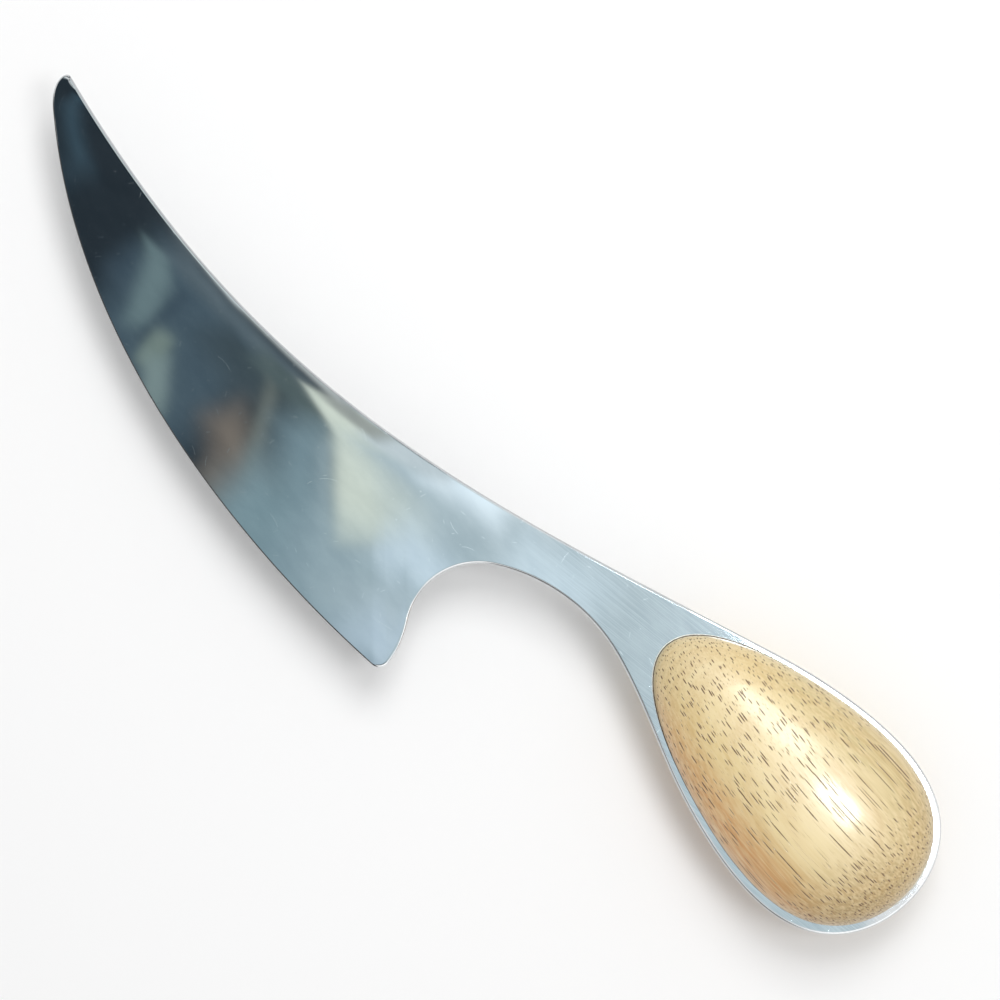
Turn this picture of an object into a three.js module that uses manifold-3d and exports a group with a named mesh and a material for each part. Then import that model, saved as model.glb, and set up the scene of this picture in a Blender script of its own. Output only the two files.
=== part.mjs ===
// Cheese knife with a curved blade, a notch behind the heel and an egg-shaped handle.
// One ground steel plate makes the blade, the neck and the tang. Two half-egg wooden scales
// lie on the tang, one on each face, held by a film of glue and by two hidden pins.
//
// Millimetres. The pieces are drawn about the centre of the wooden egg: +X runs along the
// handle from tip to butt, +Y towards the spine and +Z out of the plate. The last lines set
// the finished knife on its lowest point, with the middle of its box over the origin.

import * as THREE from 'three';
import { mergeVertices } from 'three/addons/utils/BufferGeometryUtils.js';
import Module from 'manifold-3d';

const wasm = await Module();
wasm.setup();

const { degToRad, lerp, clamp } = THREE.MathUtils;

// Wooden egg
const eggLength = 59.3;
const eggWidth = 34.3;
const eggSkew = 0.32; // carries the widest place from the middle towards the butt
const eggFullness = 0.14; // rounds out both ends
const domeHeight = 11.5; // of each scale above its flat base
const domeSquareness = 2.15; // 2 gives an elliptical section, more gives a steeper foot

// Steel plate
const plateThickness = 2;
const tipThickness = 1.3;
const arrisRadius = 0.5; // softens every edge of the plate but the cutting edge
const rimAbove = 1; // steel that shows beside the wood, on the spine's side
const rimBelow = 1.6; // and on the cutting side
const rimAtButt = 1.6; // steel that shows behind the wood
const tangFrom = degToRad(62); // where the tang's egg outline takes over from the shoulders

// Blade
const bladeLength = 111.4; // from the heel to the end of the spine
const heelDrop = 39.3; // from the handle's axis down to the heel
const heelRadius = 2;
const tipDrop = 8; // from the handle's axis down to the tip
const spineAngleAtTip = degToRad(-12.2);
const spineAngleAtNeck = degToRad(18.3);
const spinePullAtTip = 46.6; // how long the spine keeps each of those directions
const spinePullAtNeck = 44.9;
const edgeAngleAtTip = degToRad(-38.5);
const edgeAngleAtHeel = degToRad(5.2);
const edgePullAtTip = 45.4; // how long the cutting edge keeps each of those directions
const edgePullAtHeel = 20.6;
const tipRoundLength = 1.8; // the rounded nose, along the handle's axis and across it
const tipRoundDrop = 5.9;
const nosePullAtSpine = 1.4;
const nosePullAtEdge = 4.9;

// Grind of the blade
const edgeThickness = 0.2;
const bevelWidth = 0.2;
const bevelThickness = 0.36; // where the bevel meets the flank
const spineRoll = 0.2; // how far each flank falls away towards the spine
const spineRollWidth = 6;

// Neck and notch
const neckLength = 30.6; // from the wood to the heel
const neckWidth = 8;
const waistShare = 0.98; // of the spine, where the neck is narrowest
const neckRadius = 32.6; // under the neck
const notchRadius = 12.6;
const notchUndercut = 5.3; // of the notch behind the heel
const notchMouth = degToRad(215); // where the notch opens into the heel
const heelTurn = degToRad(10); // how far the heel turns past square
const neckTop = degToRad(76.5); // where the curve under the neck runs out to the tang
const spineEndFromEgg = 22; // where the spine runs out to the tang
const spineEndRise = 0.46; // over the handle's axis, there

// Glue and pins
const glueThickness = 0.25;
const glueSqueeze = 0.15; // a line of glue that shows round the wood
const pinDiameter = 3;
const pinReach = 5; // into each scale
const pinChamfer = 0.4;
const pinClearance = 0.3;
const pinFromFront = 18.5; // from each end of the wood to the nearer pin
const pinFromButt = 14.5;

// Smoothness of the solids
const ringSteps = 3; // round an arris
const flankSteps = 6; // across the plate
const domeRows = 26; // along a scale
const domeColumns = 18; // over a scale
const roundSides = 24; // of a pin or its hole
const filmSides = 64; // round a film of glue
const arrisLimit = 0.8; // share of the half thickness that an arris may take
const peakSamples = 400; // for the egg's widest place

const plateHalf = plateThickness / 2;
const heelX = -eggLength / 2 - neckLength;
const tipX = heelX - bladeLength;

const place = (x, y) => new THREE.Vector2(x, y);

// Egg outline: the half width at s, from -1 at the front to 1 at the butt, where 1 is widest.
const eggRaw = (s) => Math.sqrt(1 - s * s) * (1 + eggSkew * s + eggFullness * s * s);
const eggPeak = Math.max(...Array.from({ length: peakSamples }, (_, i) => eggRaw(i / peakSamples)));
const eggShare = (s) => eggRaw(s) / eggPeak;

// One side of an egg outline, from a starting angle round to the butt.
class EggSide extends THREE.Curve {
  constructor(halfLength, halfWidth, from = 0) {
    super();
    Object.assign(this, { halfLength, halfWidth, from });
  }

  getPoint(t, target = place(0, 0)) {
    const s = -Math.cos(lerp(this.from, Math.PI, t));
    return target.set(this.halfLength * s, this.halfWidth * eggShare(s));
  }
}

function arc(centre, radius, from, to) {
  return new THREE.ArcCurve(centre.x, centre.y, radius, from, to, to < from);
}

function direction(angle) {
  return place(Math.cos(angle), Math.sin(angle));
}

function cubic(from, heading, pull, to, arrival, endPull) {
  const start = heading.clone().multiplyScalar(pull).add(from);
  const end = arrival.clone().multiplyScalar(-endPull).add(to);
  return new THREE.CubicBezierCurve(from, start, end, to);
}

// A smooth curve from the end of one curve to the start of the next.
function bridge(before, after) {
  const from = before.getPoint(1);
  const to = after.getPoint(0);
  const pull = from.distanceTo(to) / 3;
  return cubic(from, before.getTangent(1), pull, to, after.getTangent(0), pull);
}

// A part of a curve, between two shares of its run.
class Stretch extends THREE.Curve {
  constructor(curve, from, to) {
    super();
    Object.assign(this, { curve, from, to });
  }

  getPoint(t, target = place(0, 0)) {
    return this.curve.getPoint(lerp(this.from, this.to, t), target);
  }
}

// Spine: one long curve from the tip to where it leaves for the tang
const tip = place(tipX, -tipDrop);
const spine = cubic(
  tip, direction(spineAngleAtTip), spinePullAtTip,
  place(-eggLength / 2 - spineEndFromEgg, spineEndRise), direction(spineAngleAtNeck), spinePullAtNeck);

// Under the neck: an arc that lies one neck width away from the spine at the waist
const waistRun = spine.getTangent(waistShare);
const neckCentre = place(waistRun.y, -waistRun.x)
  .multiplyScalar(neckWidth + neckRadius)
  .add(spine.getPoint(waistShare));

// Notch: an arc that runs into the neck's arc and undercuts the heel
const notchX = heelX - notchUndercut + notchRadius;
const notchRise = Math.sqrt((neckRadius - notchRadius) ** 2 - (notchX - neckCentre.x) ** 2);
const notchCentre = place(notchX, neckCentre.y + notchRise);
const notchTop = notchCentre.clone().sub(neckCentre).angle();
const notch = arc(notchCentre, notchRadius, notchMouth, notchTop);
const neck = arc(neckCentre, neckRadius, notchTop, neckTop);

// Heel and cutting edge
const heelCentre = place(heelX - heelRadius, heelRadius - heelDrop);
const heel = arc(heelCentre, heelRadius, edgeAngleAtHeel - Math.PI / 2, heelTurn);
const edgeStart = place(tip.x + tipRoundLength, tip.y - tipRoundDrop);
const edgeHeading = direction(edgeAngleAtTip);
const cuttingEdge = cubic(
  edgeStart, edgeHeading, edgePullAtTip,
  heel.getPoint(0), heel.getTangent(0), edgePullAtHeel);
const noseHeading = direction(spineAngleAtTip).negate();
const nose = cubic(tip, noseHeading, nosePullAtSpine, edgeStart, edgeHeading, nosePullAtEdge);

// Tang: the wood's egg, wider by the rim
const tangUpper = new EggSide(eggLength / 2 + rimAtButt, eggWidth / 2 + rimAbove, tangFrom);
const tangLower = new EggSide(eggLength / 2 + rimAtButt, -eggWidth / 2 - rimBelow, tangFrom);

// The plate's outline in stretches from tip to butt. Each pairs a curve on the cutting side with
// one on the spine side, so that straight lines between them cover the plate without crossing.
// keen is 1 where the rim is a cutting bevel and 0 where it is a rounded arris; full is 0 where
// the cutting side is ground thin and 1 where it has the plate's whole thickness.
const spineRun = (from, to) => new Stretch(spine, from, to);
const ground = { keen: [1, 1], full: [0, 0] };
const whole = { keen: [0, 0], full: [1, 1] };
const stretches = [
  { lower: new Stretch(nose, 0, 0.3), upper: spineRun(0, 0.015), steps: 3, keen: [0, 1], full: [0, 0] },
  { lower: new Stretch(nose, 0.3, 1), upper: spineRun(0.015, 0.05), steps: 5, ...ground },
  { lower: cuttingEdge, upper: spineRun(0.05, 0.73), steps: 24, ...ground },
  { lower: heel, upper: spineRun(0.73, 0.75), steps: 5, keen: [1, 0], full: [0, 0.08] },
  { lower: bridge(heel, notch), upper: spineRun(0.75, 0.785), steps: 4, keen: [0, 0], full: [0.08, 0.3] },
  { lower: notch, upper: spineRun(0.785, 0.915), steps: 10, keen: [0, 0], full: [0.3, 1] },
  { lower: neck, upper: spineRun(0.915, 1), steps: 8, ...whole },
  { lower: bridge(neck, tangLower), upper: bridge(spine, tangUpper), steps: 9, ...whole },
  { lower: tangLower, upper: tangUpper, steps: 18, ...whole },
];

// Half the plate's thickness before the blade is ground, which thins towards the tip.
function stockHalf(x) {
  const share = clamp((x - tipX) / bladeLength, 0, 1);
  return lerp(tipThickness, plateThickness, share) / 2;
}

// The outline as one loop: along the cutting side to the butt and back along the spine.
function plateLoop() {
  const lower = [];
  const upper = [];
  for (const { lower: under, upper: over, steps, keen, full } of stretches) {
    for (let i = 0; i < steps; i += 1) {
      const t = i / steps;
      const thick = lerp(...full, t);
      lower.push({ at: under.getPoint(t), keen: lerp(...keen, t), full: thick, roll: 0 });
      upper.push({ at: over.getPoint(t), keen: 0, full: 1, roll: spineRoll * (1 - thick) });
    }
  }
  lower.push({ at: tangLower.getPoint(1), keen: 0, full: 1, roll: 0 });
  return { stations: lower.length - 1, loop: [...lower, ...upper.slice(1).reverse()] };
}

// The rim at one place of the loop: how far each ring is set in, and its half thickness. It is a
// quarter of an ellipse where the rim is rounded and a straight line where it is a bevel.
function rimRings({ at, keen, full, roll }) {
  const inner = lerp(bevelThickness / 2, stockHalf(at.x), full) - roll;
  const rise = Math.min(arrisRadius, inner * arrisLimit);
  const depth = lerp(arrisRadius, bevelWidth, keen);
  const wall = lerp(inner - rise, edgeThickness / 2, keen);
  return Array.from({ length: ringSteps + 1 }, (_, ring) => {
    const share = ring / ringSteps;
    const turn = share * Math.PI / 2;
    return {
      inset: depth * lerp(1 - Math.cos(turn), share, keen),
      half: lerp(wall, inner, lerp(Math.sin(turn), share, keen)),
    };
  });
}

function steelPlate() {
  const { stations, loop } = plateLoop();
  const count = loop.length;
  const positions = [];
  const triangles = [];
  const add = (x, y, z) => positions.push(x, y, z) / 3 - 1;

  // Rings of the rim, set in along the outline's normals, on the upper face and then the lower.
  const inner = [];
  const rings = [0, 1].map(() => Array.from({ length: ringSteps + 1 }, () => []));
  loop.forEach((spot, i) => {
    const along = loop[(i + 1) % count].at.clone().sub(loop[(i + count - 1) % count].at).normalize();
    rimRings(spot).forEach(({ inset, half }, ring) => {
      const x = spot.at.x - along.y * inset;
      const y = spot.at.y + along.x * inset;
      rings[0][ring].push(add(x, y, half));
      rings[1][ring].push(add(x, y, -half));
      inner[i] = { x, y, half };
    });
  });

  // Rows of points across each flank, from the cutting side to the spine.
  const rows = [[], []];
  for (let i = 1; i < stations; i += 1) {
    const low = inner[i];
    const high = inner[count - i];
    const roll = loop[count - i].roll;
    const width = Math.hypot(high.x - low.x, high.y - low.y);
    rings.forEach((face, side) => { rows[side][i] = [face[ringSteps][i]]; });
    for (let step = 1; step < flankSteps; step += 1) {
      const share = Math.sin((step / flankSteps) * Math.PI / 2);
      const x = lerp(low.x, high.x, share);
      const y = lerp(low.y, high.y, share);
      const toSpine = Math.max(0, 1 - (1 - share) * width / spineRollWidth);
      const half = lerp(low.half, high.half + roll, share) - roll * toSpine ** 2;
      rows[0][i].push(add(x, y, half));
      rows[1][i].push(add(x, y, -half));
    }
    rings.forEach((face, side) => { rows[side][i].push(face[ringSteps][count - i]); });
  }

  const corner = (side, a, b, c) => triangles.push(...(side === 0 ? [a, b, c] : [a, c, b]));
  const patch = (side, a, b, c, d) => {
    corner(side, a, b, c);
    corner(side, a, c, d);
  };

  for (let i = 0; i < count; i += 1) {
    const next = (i + 1) % count;
    patch(0, rings[1][0][i], rings[1][0][next], rings[0][0][next], rings[0][0][i]);
    for (let side = 0; side < 2; side += 1) {
      for (let ring = 0; ring < ringSteps; ring += 1) {
        const outer = rings[side][ring];
        const inside = rings[side][ring + 1];
        patch(side, outer[i], outer[next], inside[next], inside[i]);
      }
    }
  }
  for (let side = 0; side < 2; side += 1) {
    const tipPoint = rings[side][ringSteps][0];
    const buttPoint = rings[side][ringSteps][stations];
    for (let step = 0; step < flankSteps; step += 1) {
      corner(side, tipPoint, rows[side][1][step], rows[side][1][step + 1]);
      for (let i = 1; i < stations - 1; i += 1) {
        const here = rows[side][i];
        const there = rows[side][i + 1];
        patch(side, here[step], there[step], there[step + 1], here[step + 1]);
      }
      const last = rows[side][stations - 1];
      corner(side, last[step], buttPoint, last[step + 1]);
    }
  }
  return meshGeometry(positions, triangles);
}

// Half an egg on its flat base: rows along the axis, each an arch from one side to the other.
function halfEgg() {
  const positions = [];
  const triangles = [];
  const index = (row, column) => (row - 1) * (domeColumns + 1) + column;
  const power = 2 / domeSquareness;
  for (let row = 1; row < domeRows; row += 1) {
    const s = -Math.cos((row / domeRows) * Math.PI);
    for (let column = 0; column <= domeColumns; column += 1) {
      const angle = (column / domeColumns) * Math.PI;
      const across = Math.sign(Math.cos(angle)) * Math.abs(Math.cos(angle)) ** power;
      const up = column % domeColumns === 0 ? 0 : Math.sin(angle) ** power;
      const swell = eggShare(s);
      positions.push(eggLength / 2 * s, eggWidth / 2 * swell * across, domeHeight * swell * up);
    }
  }
  const front = positions.push(-eggLength / 2, 0, 0) / 3 - 1;
  const butt = positions.push(eggLength / 2, 0, 0) / 3 - 1;
  for (let row = 1; row < domeRows; row += 1) {
    for (let column = 0; column <= domeColumns; column += 1) {
      const beside = (column + 1) % (domeColumns + 1);
      if (row === 1) triangles.push(front, index(row, beside), index(row, column));
      if (row === domeRows - 1) {
        triangles.push(butt, index(row, column), index(row, beside));
      } else {
        triangles.push(index(row, column), index(row, beside), index(row + 1, beside));
        triangles.push(index(row, column), index(row + 1, beside), index(row + 1, column));
      }
    }
  }
  return meshGeometry(positions, triangles);
}

function meshGeometry(positions, triangles) {
  const geometry = new THREE.BufferGeometry();
  geometry.setAttribute('position', new THREE.Float32BufferAttribute(positions, 3));
  geometry.setIndex(triangles);
  return geometry;
}

function toSolid(source) {
  const bare = source.clone();
  bare.deleteAttribute('normal');
  bare.deleteAttribute('uv');
  const merged = mergeVertices(bare);
  return new wasm.Manifold(new wasm.Mesh({
    numProp: 3,
    vertProperties: new Float32Array(merged.attributes.position.array),
    triVerts: new Uint32Array(merged.index.array),
  }));
}

// Pin holes are drilled square to the plate, as deep as the drill reaches on both sides of z = 0.
const pinPlaces = [pinFromFront - eggLength / 2, eggLength / 2 - pinFromButt];
const holeRadius = pinDiameter / 2 + pinClearance;

function drill(geometry, reach) {
  let solid = toSolid(geometry);
  for (const x of pinPlaces) {
    const bit = new THREE.CylinderGeometry(holeRadius, holeRadius, 2 * reach, roundSides);
    solid = solid.subtract(toSolid(bit.rotateX(Math.PI / 2).translate(x, 0, 0)));
  }
  const { vertProperties, triVerts } = solid.getMesh();
  return meshGeometry(vertProperties, Array.from(triVerts));
}

function glueFilm() {
  const outline = Array.from({ length: filmSides }, (_, i) => {
    const angle = (i / filmSides) * 2 * Math.PI;
    const s = -Math.cos(angle);
    const halfWidth = (eggWidth / 2 + glueSqueeze) * eggShare(s);
    return place((eggLength / 2 + glueSqueeze) * s, Math.sign(Math.sin(angle)) * halfWidth);
  });
  const shape = new THREE.Shape(outline);
  for (const x of pinPlaces) {
    shape.holes.push(new THREE.Path().absarc(x, 0, holeRadius, 0, 2 * Math.PI));
  }
  return new THREE.ExtrudeGeometry(shape, {
    depth: glueThickness, bevelEnabled: false, curveSegments: roundSides,
  });
}

// A pin turned about Z, with a chamfer at each end.
function pin() {
  const half = plateHalf + glueThickness + pinReach;
  const radius = pinDiameter / 2;
  const profile = [
    place(0, -half), place(radius - pinChamfer, -half), place(radius, pinChamfer - half),
    place(radius, half - pinChamfer), place(radius - pinChamfer, half), place(0, half),
  ];
  return new THREE.LatheGeometry(profile, roundSides).rotateX(Math.PI / 2);
}

const steel = { color: 0xb4bec4, roughness: 0.3, metalness: 1 };
const wood = { color: 0xd8b777, roughness: 0.42, metalness: 0 };
const glue = { color: 0xe6dfca, roughness: 0.6, metalness: 0 };
const pinSteel = { color: 0xc2c6c9, roughness: 0.45, metalness: 1 };

const knife = new THREE.Group();

function addPart(name, geometry, finish, z = 0, x = 0) {
  const mesh = new THREE.Mesh(geometry, new THREE.MeshStandardMaterial(finish));
  mesh.name = name;
  mesh.position.set(x, 0, z);
  knife.add(mesh);
}

const scale = drill(halfEgg(), pinReach + pinClearance);
const woodBase = plateHalf + glueThickness;

addPart('blade_and_tang', drill(steelPlate(), plateThickness), steel);
addPart('upper_scale', scale, wood, woodBase);
addPart('lower_scale', scale.clone().rotateX(Math.PI), wood, -woodBase);
addPart('upper_glue_film', glueFilm(), glue, plateHalf);
addPart('lower_glue_film', glueFilm(), glue, -woodBase);
addPart('front_pin', pin(), pinSteel, 0, pinPlaces[0]);
addPart('rear_pin', pin(), pinSteel, 0, pinPlaces[1]);

const box = new THREE.Box3().setFromObject(knife);
const middle = box.getCenter(new THREE.Vector3());
knife.position.set(-middle.x, -middle.y, -box.min.z);

export default knife;
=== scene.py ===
# %% [markdown]
# # A cheese knife with an egg-shaped handle
# The knife is one steel plate between two wooden half-eggs. The CAD frame already holds each
# piece at its real size, but as facets. This lesson lays smooth surfaces over the frame, one
# piece at a time, and then gives each one its finish.

# %% Load the frame and measure it
import math

import bmesh
import bpy
import numpy as np
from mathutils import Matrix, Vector


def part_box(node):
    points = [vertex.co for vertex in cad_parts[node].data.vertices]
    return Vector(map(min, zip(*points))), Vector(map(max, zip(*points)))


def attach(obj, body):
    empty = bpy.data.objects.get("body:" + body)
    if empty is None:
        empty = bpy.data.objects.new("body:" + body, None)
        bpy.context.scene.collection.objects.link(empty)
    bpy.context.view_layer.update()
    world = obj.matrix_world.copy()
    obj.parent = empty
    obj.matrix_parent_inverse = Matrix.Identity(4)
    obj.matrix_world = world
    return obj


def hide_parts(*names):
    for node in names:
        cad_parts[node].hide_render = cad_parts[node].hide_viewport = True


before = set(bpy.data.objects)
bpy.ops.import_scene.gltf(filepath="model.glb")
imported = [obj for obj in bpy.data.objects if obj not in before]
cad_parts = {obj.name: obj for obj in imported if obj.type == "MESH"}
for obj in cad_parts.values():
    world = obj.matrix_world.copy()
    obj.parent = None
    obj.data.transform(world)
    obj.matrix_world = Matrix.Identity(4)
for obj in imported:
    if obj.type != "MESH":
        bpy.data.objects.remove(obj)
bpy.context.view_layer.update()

MM = 0.001


def node_box(node):
    """The lowest and highest corner of a CAD node, in millimetres."""
    low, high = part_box(node)
    return np.array(low) / MM, np.array(high) / MM


wood_low, wood_high = node_box("upper_scale")
plate_low, plate_high = node_box("blade_and_tang")
egg_length, egg_width, dome_height = wood_high - wood_low
plate_thickness = plate_high[2] - plate_low[2]
glue_thickness = wood_low[2] - plate_high[2]
egg_centre = (wood_low + wood_high) / 2
egg_centre[2] = (plate_low[2] + plate_high[2]) / 2
print(f"egg {egg_length:.1f} by {egg_width:.1f} mm, plate {plate_thickness:.1f} mm thick")

# %% [markdown]
# ## From a grid of points to a mesh
# Every surface here is a function of two parameters, worked out for a whole grid at once. The
# grid's neighbours make the faces. Drawing the faces one by one would be slow and hard to change;
# with a grid, the shape is the formula and the fineness is two numbers. All shapes are worked out
# in millimetres about the middle of the egg, with x from tip to butt and y towards the spine.

# %% Grid to mesh
CREASE = math.radians(18)
MERGE_DISTANCE = 1e-7


def make_piece(name, grid, wrap_rows=False, **attributes):
    """A mesh object from a grid of points, whose columns close into a loop. Rows that shrink to
    one point, or that meet, are merged, so the surface is closed, and its faces point outwards.
    It is shaded smooth, apart from creases."""
    rows, columns = grid.shape[:2]
    index = np.arange(rows * columns).reshape(rows, columns)
    index = np.hstack([index, index[:, :1]])
    if wrap_rows:
        index = np.vstack([index, index[:1]])
    quads = np.stack([index[:-1, :-1], index[1:, :-1], index[1:, 1:], index[:-1, 1:]], axis=-1)
    points = (grid.reshape(-1, 3) + egg_centre) * MM
    mesh = bpy.data.meshes.new(name)
    mesh.from_pydata(points.tolist(), [], quads.reshape(-1, 4).tolist())
    for key, values in attributes.items():
        layer = mesh.attributes.new(key, "FLOAT", "POINT")
        layer.data.foreach_set("value", values.astype(np.float32).ravel())
    shell = bmesh.new()
    shell.from_mesh(mesh)
    bmesh.ops.remove_doubles(shell, verts=shell.verts, dist=MERGE_DISTANCE)
    bmesh.ops.dissolve_degenerate(shell, edges=shell.edges, dist=MERGE_DISTANCE)
    bmesh.ops.recalc_face_normals(shell, faces=shell.faces)
    open_edges = sum(not edge.is_manifold for edge in shell.edges)
    shell.to_mesh(mesh)
    shell.free()
    mesh.polygons.foreach_set("use_smooth", np.ones(len(mesh.polygons), dtype=bool))
    mesh.set_sharp_from_angle(angle=CREASE)
    piece = bpy.data.objects.new(name, mesh)
    bpy.context.scene.collection.objects.link(piece)
    print(f"{name}: {len(mesh.polygons)} faces, {open_edges} open edges")
    return piece


def lerp(a, b, share):
    return a + (b - a) * share


# %% [markdown]
# ## The egg
# Seen from above, the handle is an egg: an ellipse that is fuller towards the butt. Multiplying
# the ellipse's half width by a small polynomial moves its widest place and rounds its ends. The
# wood, the glue line and the steel tang all use this one curve, so they always fit.

# %% The egg's outline
EGG_SKEW = 0.32
EGG_FULLNESS = 0.14


def egg_raw(s):
    """Half width before scaling: an ellipse times 1 + skew s + fullness s squared."""
    return np.sqrt(np.clip(1 - s * s, 0, None)) * (1 + EGG_SKEW * s + EGG_FULLNESS * s * s)


butt_half = np.linspace(0, 1, 400)
egg_peak = egg_raw(butt_half).max()
widest = butt_half[egg_raw(butt_half).argmax()] * egg_length / 2


def egg_share(s):
    """Share of the widest half width, for s from -1 at the front to 1 at the butt."""
    return egg_raw(s) / egg_peak


print(f"the egg is widest {widest:.1f} mm behind its middle")

# %% [markdown]
# ## Curves for the plate
# The plate's outline is a chain of arcs and cubic curves. Each curve is a function of t from 0 to
# 1, so a curve can be asked for its direction at an end, and a bridge between two curves can leave
# and arrive along those directions. That keeps the outline smooth without placing any point by eye.

# %% Curve helpers


def arc(centre, radius, start, stop):
    """Points on a circle, with the angle moving evenly from start to stop."""
    def points(t):
        angle = lerp(start, stop, np.asarray(t, float))
        return np.asarray(centre) + radius * np.stack([np.cos(angle), np.sin(angle)], axis=-1)
    return points


def cubic(begin, heading, end, arrival, pulls):
    """A cubic curve that leaves along heading and arrives along arrival; a longer pull keeps
    each of those directions for longer."""
    handles = [begin, begin + pulls[0] * heading, end - pulls[1] * arrival, end]

    def points(t):
        t = np.asarray(t, float)[..., None]
        weights = [(1 - t) ** 3, 3 * t * (1 - t) ** 2, 3 * t ** 2 * (1 - t), t ** 3]
        return sum(weight * handle for weight, handle in zip(weights, handles))
    return points


def egg_side(half_length, half_width, start):
    """One side of an egg outline, from an angle of the ellipse round to the butt."""
    def points(t):
        s = -np.cos(lerp(start, np.pi, np.asarray(t, float)))
        return np.stack([half_length * s, half_width * egg_share(s)], axis=-1)
    return points


def heading_of(curve, t):
    """The unit direction in which a curve runs at t."""
    step = 1e-4
    run = curve(min(t + step, 1)) - curve(max(t - step, 0))
    return run / np.linalg.norm(run)


def bridge(before, after):
    """A smooth curve from the end of one curve to the start of the next."""
    begin, end = before(1), after(0)
    pull = np.linalg.norm(end - begin) / 3
    return cubic(begin, heading_of(before, 1), end, heading_of(after, 0), (pull, pull))


# %% [markdown]
# ## The plate's outline
# The spine is one long cubic curve. Under the neck lies an arc, one neck width away from the spine
# at the waist, and a second arc runs out of it round the notch behind the heel. The cutting edge is
# a cubic too, from the rounded nose to the heel. The sizes are those of the CAD plate, in
# millimetres and degrees.

# %% Outline of the blade, the notch and the neck
BLADE_LENGTH = 111.4
TIP_DROP = 8
NOSE_SIZE = (1.8, -5.9)
NOSE_PULLS = (1.4, 4.9)
EDGE_HEADING = -38.5
EDGE_PULLS = (45.4, 20.6)
HEEL_DROP = 39.3
HEEL_RADIUS = 2
HEEL_ANGLES = (-84.8, 10)
NOTCH_RADIUS = 12.6
NOTCH_UNDERCUT = 5.3
NOTCH_START = 215
NECK_LENGTH = 30.6
NECK_WIDTH = 8
NECK_RADIUS = 32.6
NECK_STOP = 76.5
WAIST_SHARE = 0.98
SPINE_HEADINGS = (-12.2, 18.3)
SPINE_PULLS = (46.6, 44.9)
SPINE_END_FROM_EGG = 22
SPINE_END_RISE = 0.46


def direction(degrees):
    return np.array([math.cos(math.radians(degrees)), math.sin(math.radians(degrees))])


front_x = -egg_length / 2
heel_x = front_x - NECK_LENGTH
tip_x = heel_x - BLADE_LENGTH
tip = np.array([tip_x, -TIP_DROP])
spine_end = np.array([front_x - SPINE_END_FROM_EGG, SPINE_END_RISE])
leaving, arriving = [direction(heading) for heading in SPINE_HEADINGS]
spine = cubic(tip, leaving, spine_end, arriving, SPINE_PULLS)

waist_run = heading_of(spine, WAIST_SHARE)
waist_down = np.array([waist_run[1], -waist_run[0]])
neck_centre = spine(WAIST_SHARE) + (NECK_WIDTH + NECK_RADIUS) * waist_down
notch_x = heel_x - NOTCH_UNDERCUT + NOTCH_RADIUS
notch_rise = math.sqrt((NECK_RADIUS - NOTCH_RADIUS) ** 2 - (notch_x - neck_centre[0]) ** 2)
notch_centre = np.array([notch_x, neck_centre[1] + notch_rise])
notch_top = math.atan2(notch_rise, notch_x - neck_centre[0])
notch = arc(notch_centre, NOTCH_RADIUS, math.radians(NOTCH_START), notch_top)
neck = arc(neck_centre, NECK_RADIUS, notch_top, math.radians(NECK_STOP))

heel_centre = np.array([heel_x - HEEL_RADIUS, HEEL_RADIUS - HEEL_DROP])
heel = arc(heel_centre, HEEL_RADIUS, *np.radians(HEEL_ANGLES))
edge_start = tip + np.array(NOSE_SIZE)
edge_run = direction(EDGE_HEADING)
cutting_edge = cubic(edge_start, edge_run, heel(0), heading_of(heel, 0), EDGE_PULLS)
nose = cubic(tip, -leaving, edge_start, edge_run, NOSE_PULLS)
print(f"tip at x {tip_x:.1f} mm, notch centre at {notch_centre.round(1)} mm")

# %% [markdown]
# ## Pairing the two sides
# To fill the outline, each stretch on the cutting side is paired with a stretch on the spine side.
# A straight line across every pair then sweeps the whole plate. Two more numbers ride along with
# each pair: how keen the lower rim is, from a rounded edge to a cutting bevel, and how full the
# plate is there, from ground thin to its whole thickness. Where two stretches meet, the pace along
# the spine would change at once, and the mirror-bright flank would show that as a line, so the pace
# is eased.

# %% Stations from tip to butt
RIM_ABOVE = 1
RIM_BELOW = 1.6
RIM_AT_BUTT = 1.6
TANG_FROM = math.radians(62)
EASE_LENGTH = 12
EASE_SAMPLES = 4000

tang_length = egg_length / 2 + RIM_AT_BUTT
tang_upper = egg_side(tang_length, egg_width / 2 + RIM_ABOVE, TANG_FROM)
tang_lower = egg_side(tang_length, -egg_width / 2 - RIM_BELOW, TANG_FROM)


def part_of(curve, start, stop):
    """A part of a curve, between two shares of its run."""
    return lambda t: curve(lerp(start, stop, np.asarray(t, float)))


def spine_run(start, stop):
    return part_of(spine, start, stop)


stretches = [
    # lower curve, upper curve, steps, keen from and to, full from and to
    (part_of(nose, 0, 0.3), spine_run(0, 0.015), 16, (0, 1), (0, 0)),
    (part_of(nose, 0.3, 1), spine_run(0.015, 0.05), 24, (1, 1), (0, 0)),
    (cutting_edge, spine_run(0.05, 0.66), 110, (1, 1), (0, 0)),
    (heel, spine_run(0.66, 0.68), 24, (1, 0), (0, 0.08)),
    (bridge(heel, notch), spine_run(0.68, 0.72), 16, (0, 0), (0.08, 0.3)),
    (notch, spine_run(0.72, 0.9), 44, (0, 0), (0.3, 1)),
    (neck, spine_run(0.9, 1), 36, (0, 0), (1, 1)),
    (bridge(neck, tang_lower), bridge(spine, tang_upper), 40, (0, 0), (1, 1)),
    (tang_lower, tang_upper, 80, (0, 0), (1, 1)),
]


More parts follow.
